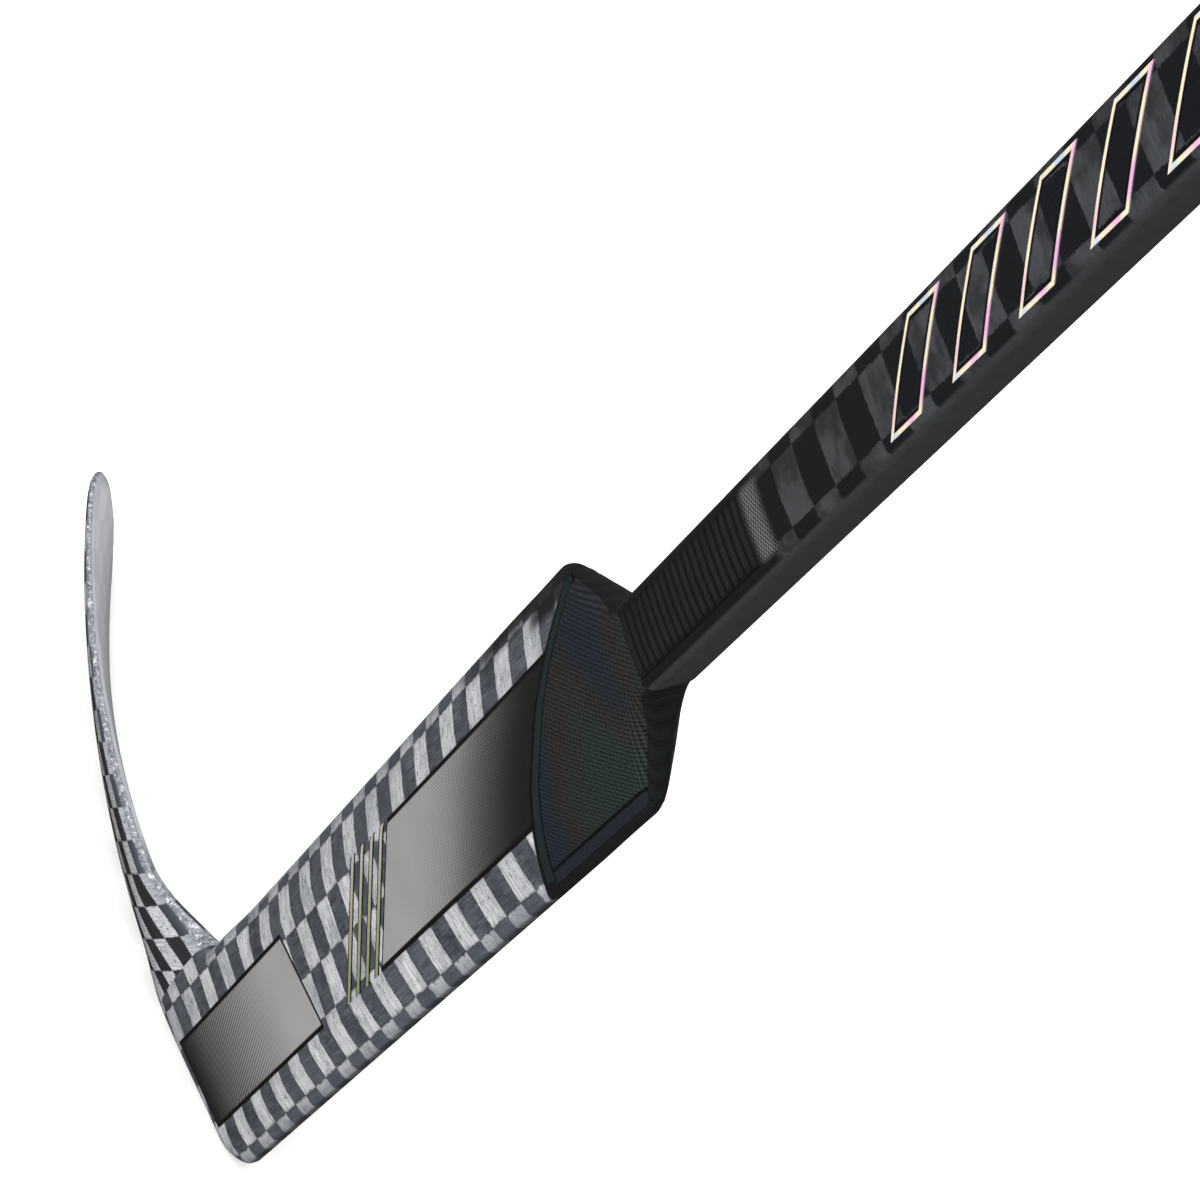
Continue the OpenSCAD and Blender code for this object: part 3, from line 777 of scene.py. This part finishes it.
def panel_material(name, length, pitch, turn, screen, fade, pale_low, pale_high):
    material, t, shader = new_material(
        name, Metallic=0.2, Roughness=0.34, Coat_Weight=0.4, Coat_Roughness=0.12)
    share_w, share_u = parts_of(t, layout(t, "sheet"))[:2]
    cloth = layout(t, "cloth")
    fine = mapped(
        t, cloth, (1 / pitch, 1 / pitch, 1), rotation=(0, 0, math.radians(turn)))
    fine_x, fine_y = parts_of(t, fine)[:2]
    ink_edge = calc(
        t, "SUBTRACT", ramp(t, share_u, *fade), screen(t, fine_x, fine_y))
    ink = ramp(t, ink_edge, -0.3, 0.3)
    tint = noise(t, cloth, 22.0, 3.0).outputs[0]
    colour = mix_colour(t, ink, mix_colour(t, tint, pale_low, pale_high),
                        linear(24, 25, 27))
    inset = calc(t, "MINIMUM", from_ends(t, share_w, 2 * PANEL_HALF),
                 from_ends(t, share_u, length))
    frame_line = ramp(t, inset, 0.0021, 0.0015)
    bare = one_minus(t, calc(t, "MAXIMUM", ink, frame_line))
    feed(t, shader, {
        "Base Color": mix_colour(t, frame_line, colour, INK_BLACK),
        "Metallic": times(t, bare, 0.2), "Roughness": scaled_up(t, tint, 0.12, 0.3)})
    add_bump(t, shader, 0.25, 0.00005, ink)
    return material


def line_screen(tree, x, y):
    return wave(tree, x)


def dot_screen(tree, x, y):
    return times(tree, calc(tree, "ADD", wave(tree, x), wave(tree, y)), 0.5)


low_panel_mat = panel_material(
    "panel_line_screen", PANEL_LOW_LEN, 0.0017, 14, line_screen,
    (-0.15, 0.95, 1.3, -1.3),
    linear(150, 149, 147), linear(172, 171, 169))
high_panel_mat = panel_material(
    "panel_dot_screen", PANEL_UP_LEN, 0.0015, 45, dot_screen,
    (-0.05, 1.12, -1.25, 1.25),
    linear(146, 147, 147), linear(164, 165, 165))
for face, side in FACES:
    low = film("panel_lower_foil_" + face, PANEL_COLS, PANEL_ROWS, low_panel, side)
    low.data.materials.append(low_panel_mat)
    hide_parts("panel_lower_" + face)
    high = film("panel_upper_foil_" + face, PANEL_COLS, PANEL_ROWS, high_panel, side)
    high.data.materials.append(high_panel_mat)
    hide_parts("panel_upper_" + face)


# Pinstripes: four plain slanted lines of bright foil between the panels, with
# black edges, set into the lacquer of each face.
STRIPES = 4
STRIPE_STEP = 0.016
STRIPE_START = 0.012
STRIPE_LEN = 0.007
stripe_mat, t, stripe_shader = new_material(
    "bright_stripe", Metallic=0.3, Roughness=0.25, Coat_Weight=0.6, Coat_Roughness=0.08)
stripe_w, stripe_u = parts_of(t, layout(t, "sheet"))[:2]
stripe_tint = tint_ramp(
    t, stripe_w, linear(150, 166, 122), linear(176, 176, 140), linear(200, 196, 186))
stripe_edge = calc(t, "ABSOLUTE", calc(t, "SUBTRACT", stripe_u, 0.5))
stripe_edge = ramp(t, stripe_edge, 0.28, 0.33)
feed(t, stripe_shader, {
    "Base Color": mix_colour(t, stripe_edge, stripe_tint, INK_BLACK),
    "Metallic": calc(t, "SUBTRACT", 0.3, times(t, stripe_edge, 0.3))})


def join_pieces(pieces, name):
    bpy.ops.object.select_all(action="DESELECT")
    for piece in pieces:
        piece.select_set(True)
    bpy.context.view_layer.objects.active = pieces[0]
    bpy.ops.object.join()
    joined = bpy.context.object
    joined.name = name
    joined.data.name = name
    return joined


def slanted_spot(start_u, half_w, length):
    def spot(a, b):
        w = (2 * a - 1) * half_w
        return plan(w, start_u + SLANT * w + b * length)
    return spot


for face, side in FACES:
    stripes = join_pieces([
        film("pinstripe", 20, 3, slanted_spot(
            PANEL_U - STRIPE_START - STRIPE_STEP * count, PANEL_HALF, STRIPE_LEN), side)
        for count in range(STRIPES)], "pinstripe_foil_" + face)
    stripes.data.materials.append(stripe_mat)
    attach(stripes, "root")
    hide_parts("pinstripes_" + face)


# Shoulder wrap: a fine black woven film stuck over each face of the shoulder,
# with a dark teal band along its bowed lower edge. Both stop just short of the
# rounded edge.
TRIM_BAND = 0.011
EDGE_INSET = 0.0014
WRAP_T = 0.0002
WRAP_OVER = 0.0015


def slope_limit(w, inset):
    sloped = shoulder_line[::-1]
    return np.interp(np.abs(w) + inset, sloped[:, 0], sloped[:, 1])


def meeting_width(rise, inset):
    w = np.linspace(0, IN_W, 400)
    under = wrap_line(w) + rise < slope_limit(w, inset)
    return w[under][-1]


TRIM_STOP = meeting_width(0.0, EDGE_INSET)
WRAP_STOP = meeting_width(TRIM_BAND, EDGE_INSET)


def trim_spot(a, b):
    w = a * (IN_W + TRIM_STOP) - IN_W
    low_u = wrap_line(w)
    room = np.maximum(slope_limit(w, EDGE_INSET), low_u + 1e-4)
    high_u = np.minimum(low_u + TRIM_BAND, room)
    return plan(w, low_u + b * (high_u - low_u))


def wrap_spot(a, b):
    w_line = np.linspace(-IN_W, WRAP_STOP, 200)
    u_line = wrap_line(w_line) + TRIM_BAND
    u = u_line[0] + b * (BODY_TOP_U - u_line[0])
    room = np.interp(u, shoulder_line[:, 1], shoulder_line[:, 0]) - EDGE_INSET
    high_w = np.minimum(np.interp(u, u_line, w_line), room)
    low_w = -np.minimum(IN_W + WRAP_OVER, room)
    high_w = np.maximum(high_w, low_w + 0.0004)
    return plan(low_w + a * (high_w - low_w), u)


trim_mat, t, trim_shader = new_material(
    "teal_band", Metallic=0.35, Roughness=0.32, Coat_Weight=0.6, Coat_Roughness=0.1)
trim_sheet = layout(t, "sheet")
trim_u = parts_of(t, trim_sheet)[1]
trim_edge = calc(t, "ABSOLUTE", calc(t, "SUBTRACT", trim_u, 0.5))
trim_cloud = noise(t, trim_sheet, 9.0, 3.0).outputs[0]
trim_teal = mix_colour(t, trim_cloud, linear(26, 38, 42), linear(38, 56, 60))
feed(t, trim_shader, {
    "Base Color": mix_colour(t, ramp(t, trim_edge, 0.36, 0.39), trim_teal,
                             linear(8, 8, 10)),
    "Roughness": scaled_up(t, trim_cloud, 0.15, 0.25)})

wrap_mat, t, wrap_shader = new_material(
    "fine_woven_film", Roughness=0.42, Coat_Weight=0.25, Coat_Roughness=0.2)
wrap_uv = layout(t, "cloth")
wrap_mesh = use_group(t, mesh_group, {"Place": wrap_uv, "Bright": 0.85})
wrap_low = times(t, parts_of(t, wrap_uv)[0], -1.0)
wrap_band = ramp(t, wrap_low, 0.0377, 0.0381)
wrap_gap = times(t, ramp(t, wrap_low, 0.0366, 0.0370), one_minus(t, wrap_band))
wrap_colour = mix_colour(t, wrap_band, wrap_mesh["Colour"], linear(28, 33, 44))
feed(t, wrap_shader, {
    "Base Color": mix_colour(t, wrap_gap, wrap_colour, linear(7, 7, 9))})
add_bump(t, wrap_shader, 0.5, 0.0001, wrap_mesh["Weave"])
for face, side in FACES:
    trim = film("shoulder_band_" + face, 40, 4, trim_spot, side)
    trim.data.materials.append(trim_mat)
    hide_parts("shoulder_trim_" + face)
    wrap = film("shoulder_film_" + face, 40, 110, wrap_spot, side, WRAP_T)
    wrap.data.materials.append(wrap_mat)
    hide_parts("shoulder_wrap_" + face)


# Shaft: a hollow rectangular tube of woven carbon with crowned wide faces and
# rounded corners, glossy on the wide faces and satin on the narrow ones. It is
# bonded over the paddle's tenon.
STICK_LEN = 1.5
CAP_FLANGE = 0.005


def shaft_outline(count_corner=10, count_face=16):
    points = []
    w_flat = SHAFT_HALF_W - SHAFT_R
    for quarter in range(4):
        a = np.radians(90 * quarter + np.linspace(0, 90, count_corner))
        sx = 1 if quarter in (0, 3) else -1
        sy = 1 if quarter in (0, 1) else -1
        points.append(np.stack([
            sx * w_flat + SHAFT_R * np.cos(a),
            sy * (HALF_T - SHAFT_R) + SHAFT_R * np.sin(a)], -1))
        if quarter in (0, 2):
            w = np.linspace(sx * w_flat, -sx * w_flat, count_face)[1:-1]
            points.append(np.stack([w, np.full(len(w), sy * HALF_T)], -1))
    line = np.concatenate(points)
    limit = crown(np.clip(line[:, 0], -SHAFT_HALF_W, SHAFT_HALF_W))
    line[:, 1] = np.clip(line[:, 1], -limit, limit)
    return line


def lay_points(w, n, u):
    p = plan(w, u)
    return np.stack([p[:, 0], n, p[:, 1]], -1)


# A solid length of that outline. Each level is its place and how far its
# outline is drawn in.
def prism(name, outline, levels):
    sides = len(outline)
    bpy.ops.object.select_all(action="DESELECT")
    bpy.ops.mesh.primitive_circle_add(vertices=sides, radius=1.0, fill_type="NGON")
    piece = bpy.context.object
    piece.name = name
    piece.data.name = name
    bpy.ops.object.mode_set(mode="EDIT")
    bpy.ops.mesh.select_all(action="SELECT")
    for count in range(len(levels) - 1):
        bpy.ops.mesh.extrude_region_move(TRANSFORM_OT_translate={"value": (0, 0, 1)})
    bpy.ops.object.mode_set(mode="OBJECT")
    co = vertex_places(piece)
    turn = np.arctan2(co[:, 1], co[:, 0]) / (2 * math.pi) * sides
    k = np.rint(turn - turn.min()).astype(int) % sides
    u, drawn_in = np.array(levels)[np.rint(co[:, 2]).astype(int)].T
    spot = outline[k]
    w = spot[:, 0] * (1 - drawn_in / SHAFT_HALF_W)
    n = spot[:, 1] * (1 - drawn_in / HALF_T)
    put_points(piece, lay_points(w, n, u))
    bpy.ops.object.shade_smooth_by_angle(angle=math.radians(35))
    return piece


shaft = prism("shaft_tube_outer", shaft_outline(), [
    (BODY_TOP_U, 0.0), (1.0, 0.0), (1.25, 0.0), (STICK_LEN - CAP_FLANGE, 0.0)])

# The shaft's own cloth is black on dark grey. Above the grip it fades out of
# black in fine dots.
SHAFT_CLOTH_PLACE = (0.5, 0.1, 0.0)
FADE_DOT = 0.0021
dark_cloth, dark_in, dark_out = new_group(
    "dark_checker", {"Place": "Vector"}, {"Colour": "Color", "Height": "Float"})
t = dark_cloth
dark_weave = use_group(t, tow_group, {"Place": dark_in["Place"], "Wander": 0.07})
dark_grey = mix_colour(t, dark_weave["Fibre"], linear(40, 41, 44), linear(76, 77, 80))
dark_grey = mix_colour(t, ramp(t, dark_weave["Cloud"], 0.40, 0.62, 0, 0.85), dark_grey,
                       linear(34, 35, 38))
dark_black = mix_colour(t, dark_weave["Fibre"], linear(12, 13, 17), linear(23, 24, 29))
feed(t, dark_out, {
    "Colour": mix_colour(t, dark_weave["Cross"], dark_black, dark_grey),
    "Height": dark_weave["Height"]})

shaft_mat, t, shaft_shader = new_material(
    "shaft_checker", Roughness=0.3, Coat_Weight=0.8, Coat_Roughness=0.07)
shaft_co = object_place(t)
upright = mapped(t, shaft_co, (1, 1, 1), rotation=(0, LIE - math.pi / 2, 0))
shaft_x, shaft_z = parts_of(t, upright)[::2]
shaft_flat = add_node(t, "ShaderNodeCombineXYZ", {0: shaft_x, 1: shaft_z}).outputs[0]
shaft_cloth = use_group(t, dark_cloth, {
    "Place": mapped(t, shaft_flat, (1 / TOW, 1 / TOW, 1.0), SHAFT_CLOTH_PLACE)})
shaft_off = calc(t, "ABSOLUTE", shaft_x)
shaft_side = ramp(t, shaft_off, 0.0134, 0.0143)
shaft_grain = noise(t, shaft_co, 260.0, 3.0, dimensions="3D").outputs[0]
shaft_satin = mix_colour(t, shaft_grain, linear(42, 43, 46), linear(58, 59, 62))
dot_x, dot_y = parts_of(t, vector_calc(
    t, "SCALE", {0: shaft_flat, "Scale": 2 * math.pi / FADE_DOT}))[:2]
fade_screen = times(t, calc(t, "SINE", dot_x), calc(t, "SINE", dot_y))
fade_up = ramp(t, shaft_z, 0.832, 0.852, 1.1, -1.1)
fade_ink = ramp(t, calc(t, "SUBTRACT", fade_up, fade_screen), -0.25, 0.25)
shaft_colour = mix_colour(t, fade_ink, shaft_cloth["Colour"], linear(16, 17, 20))
patch = times(t, ramp(t, shaft_z, 0.826, 0.832), ramp(t, shaft_z, 0.846, 0.838))
patch = times(t, patch, ramp(t, fade_screen, -0.2, 0.2))
patch = times(t, patch, ramp(t, shaft_off, 0.0125, 0.0095))
shaft_colour = mix_colour(t, patch, shaft_colour, linear(112, 113, 115))
shaft_rough = scaled_up(t, shaft_grain, 0.08, 0.26)
feed(t, shaft_shader, {
    "Base Color": mix_colour(t, shaft_side, shaft_colour, shaft_satin),
    "Coat Weight": calc(t, "SUBTRACT", 0.8, times(t, shaft_side, 0.7)),
    "Roughness": calc(t, "ADD", shaft_rough, times(t, shaft_side, 0.16))})
add_bump(t, shaft_shader, 0.3, 0.0001, shaft_cloth["Height"])
shaft.data.materials.append(shaft_mat)
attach(shaft, "root")
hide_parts("shaft_tube")


# Ribbed grips: a thin layer of moulded rubber, bonded to each wide face just
# above the paddle, with rounded cross ribs for the blocker hand.
RIBS = 20
RIB_STEPS = 10
RIB_PITCH = 0.006
RIB_LEN = 0.0032
RIB_HIGH = 0.001
GRIP_BASE = 0.00035
GRIP_COLS = 16
GRIP_HALF = 0.011
GRIP_U = BODY_TOP_U + 0.002


def ribbed_face(name, side):
    piece = start_grid(name, GRIP_COLS, RIBS * RIB_STEPS)
    bpy.ops.object.mode_set(mode="EDIT")
    thicken()
    cell = counted(piece)
    w = (2 * cell[:, 0] / GRIP_COLS - 1) * GRIP_HALF
    u = GRIP_U + cell[:, 1] / RIB_STEPS * RIB_PITCH
    phase = (cell[:, 1] % RIB_STEPS) / RIB_STEPS * RIB_PITCH
    rise = ease((RIB_LEN / 2 + 0.0008 - np.abs(phase - RIB_PITCH / 2)) / 0.0011)
    rise = rise * ease((GRIP_HALF - np.abs(w)) / 0.0018)
    height = GRIP_BASE + (RIB_HIGH - GRIP_BASE) * rise
    lift = np.where(cell[:, 2] > 0, height, -FOIL_SUNK)
    put_points(piece, lay_points(w, side * (surface_half(plan(w, u)) + lift), u))
    bpy.ops.object.shade_smooth_by_angle(angle=math.radians(60))
    lay_out(piece, "cloth", np.stack([w, u], -1)[corner_vertices(piece)])
    mark_points(piece, "rib", rise)
    return piece


grip_mat, t, grip_shader = new_material(
    "ribbed_grip", Roughness=0.4, Coat_Weight=0.35, Coat_Roughness=0.18)
grip_uv = layout(t, "cloth")
grip_height_shade = add_node(t, "ShaderNodeAttribute", attribute_name="rib").outputs["Fac"]
# Painted shade: the grip's colour follows its height. It is black in the grooves
# between the ribs and along its sides, and dark grey on the raised ribs.
grip_tint = tint_ramp(
    t, noise(t, grip_uv, 30.0, 2.0).outputs[0],
    linear(24, 26, 30), linear(30, 29, 31), linear(26, 29, 31), 0.3, 0.7)
feed(t, grip_shader, {"Base Color": mix_colour(t, grip_height_shade, INK_BLACK, grip_tint)})
add_bump(t, grip_shader, 0.3, 0.00006, noise(t, grip_uv, 1600.0, 2.0).outputs[0])
for face, side in FACES:
    ribs = ribbed_face("grip_layer_" + face, side)
    ribs.data.materials.append(grip_mat)
    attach(ribs, "root")
    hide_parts("grip_ribs_" + face)


# Shaft bars: six plain slanted frames of bright foil along both wide faces,
# with the tube's own cloth showing inside each.
BARS = 6
BAR_STEP = 0.048
BAR_HALF_W = 0.012
BAR_LEN = 0.024
BAR_ACROSS = 0.013
BARS_U = BODY_TOP_U + 0.003 + RIBS * RIB_PITCH + 0.110 + 0.020
bar_mat, t, bar_shader = new_material(
    "bright_frame", Metallic=0.2, Roughness=0.22, Coat_Weight=0.6, Coat_Roughness=0.06)
bar_sheet = layout(t, "sheet")
bar_w, bar_u = parts_of(t, bar_sheet)[:2]
bar_inset = calc(t, "MINIMUM", from_ends(t, bar_w, 2 * BAR_HALF_W),
                 from_ends(t, bar_u, BAR_ACROSS))
bar_line = ramp(t, bar_inset, 0.0013, 0.0010)
bar_tint = tint_ramp(
    t, noise(t, bar_sheet, 2.4, 1.0).outputs[0],
    linear(232, 176, 214), linear(240, 230, 190), linear(196, 208, 224), 0.3, 0.7)
bar_cloth = use_group(t, dark_cloth, {
    "Place": mapped(t, layout(t, "cloth"), (1 / TOW, 1 / TOW, 1.0), SHAFT_CLOTH_PLACE)})
bar_shadow = ramp(t, bar_inset, 0.0024, 0.0018)
bar_inner = mix_colour(t, bar_shadow, bar_cloth["Colour"], linear(8, 8, 10))
feed(t, bar_shader, {
    "Base Color": mix_colour(t, bar_line, bar_inner, bar_tint),
    "Metallic": times(t, bar_line, 0.2)})
for face, side in FACES:
    bars = join_pieces([
        film("bar", 18, 12, slanted_spot(
            BARS_U + BAR_STEP * count, BAR_HALF_W, BAR_LEN), side)
        for count in range(BARS)], "bar_foil_" + face)
    bars.data.materials.append(bar_mat)
    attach(bars, "root")
    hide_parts("shaft_bars_" + face)


# Butt cap: a moulded plastic plug with a rounded head, pushed into the open
# end of the tube and flush with its sides.
CAP_ROUND = 0.0035
cap_levels = [(STICK_LEN - CAP_FLANGE, 0.0)]
for count in range(7):
    turn = math.radians(15 * count)
    rise = CAP_ROUND * math.sin(turn)
    cap_levels.append((STICK_LEN - CAP_ROUND + rise, CAP_ROUND * (1 - math.cos(turn))))
cap = prism("butt_cap_head", shaft_outline(), cap_levels)
cap_mat, t, cap_shader = new_material("cap_plastic", Roughness=0.55)
cap_grain = noise(t, object_place(t), 1500.0, 3.0, dimensions="3D").outputs[0]
feed(t, cap_shader, {
    "Base Color": mix_colour(t, cap_grain, linear(16, 16, 17), linear(34, 34, 36)),
    "Roughness": scaled_up(t, cap_grain, 0.2, 0.45)})
add_bump(t, cap_shader, 0.4, 0.00008, cap_grain)
cap.data.materials.append(cap_mat)
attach(cap, "root")
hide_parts("butt_cap")


# Inner pieces: cores of stiff closed-cell foam, with a spar, a rib and a tenon
# of bare pressed laminate. They are bonded in place and closed in by the skins.
foam_mat, t, foam_shader = new_material("closed_cell_foam", Roughness=0.9)
foam_cells = add_node(t, "ShaderNodeTexVoronoi", {
    "Vector": object_place(t), "Scale": 1400.0}).outputs["Distance"]
feed(t, foam_shader, {
    "Base Color": mix_colour(t, foam_cells, linear(236, 224, 184),
                             linear(196, 176, 128))})
add_bump(t, foam_shader, 0.5, 0.0002, foam_cells)
inner_mat, t, inner_shader = new_material("raw_laminate", Roughness=0.5)
inner_fibre = noise(t, object_place(t), 700.0, 4.0, dimensions="3D").outputs[0]
feed(t, inner_shader, {
    "Base Color": mix_colour(t, inner_fibre, linear(22, 23, 25), linear(58, 60, 63))})
add_bump(t, inner_shader, 0.4, 0.0001, inner_fibre)
inner_names = {
    foam_mat: ("paddle_core_inner", "paddle_core_outer", "heel_core",
               "blade_core_lower", "blade_core_upper", "shaft_foam_plug"),
    inner_mat: ("paddle_spar", "blade_rib", "shaft_tenon")}
for material, names in inner_names.items():
    for name in names:
        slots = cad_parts[name].data.materials
        slots.clear()
        slots.append(material)


# Floor: plain and pale, under the sole. It looks dark in gloss, as the room
# does, so that the black lacquer keeps its depth.
bpy.ops.object.select_all(action="DESELECT")
bpy.ops.mesh.primitive_grid_add(
    x_subdivisions=4, y_subdivisions=4, size=60, location=(0, 0, 0))
floor = bpy.context.object
floor.name = "floor"
bpy.ops.object.transform_apply(location=True, rotation=True, scale=True)
floor_mat, t, floor_shader = new_material(
    "pale_floor", Roughness=0.9, Specular_IOR_Level=0.0)
floor_cloud = noise(t, object_place(t), 2.0, 2.0, dimensions="3D").outputs[0]
floor_pale = mix_colour(t, floor_cloud, (0.92, 0.92, 0.92, 1), (0.95, 0.95, 0.95, 1))
floor_path = add_node(t, "ShaderNodeLightPath").outputs["Is Glossy Ray"]
feed(t, floor_shader, {
    "Base Color": mix_colour(t, floor_path, floor_pale, (0.02, 0.02, 0.02, 1))})
floor.data.materials.append(floor_mat)


# Light: an even white room, and three large soft lamps that put a sheen on the
# faces and edges.
world = bpy.data.worlds.new("studio")
world.use_nodes = True
t = world.node_tree
world_path = add_node(t, "ShaderNodeLightPath").outputs["Is Glossy Ray"]
world_shade = t.nodes["Background"]
feed(t, world_shade, {
    "Color": mix_colour(t, world_path, (1, 1, 1, 1), (0.025, 0.025, 0.028, 1))})
world_shade.inputs["Strength"].default_value = 1.0
bpy.context.scene.world = world


def soft_lamp(name, place, aim, size, power):
    data = bpy.data.lights.new(name, "AREA")
    data.shape = "RECTANGLE"
    data.size = size[0]
    data.size_y = size[1]
    data.energy = power
    lamp = bpy.data.objects.new(name, data)
    lamp.location = place
    x, y, z = np.array(aim) - np.array(place)
    lamp.rotation_euler = (
        math.atan2(math.hypot(x, y), -z), 0, math.atan2(y, x) - math.pi / 2)
    bpy.context.collection.objects.link(lamp)


soft_lamp("key_lamp", (-1.2, 2.4, 2.6), (0, 0, 0.5), (2.4, 2.4), 60)
soft_lamp("fill_lamp", (1.8, -2.2, 2.2), (0, 0, 0.5), (2.2, 2.2), 35)
soft_lamp("top_lamp", (0.4, 0.6, 3.4), (0, 0, 0.4), (3.0, 3.0), 45)
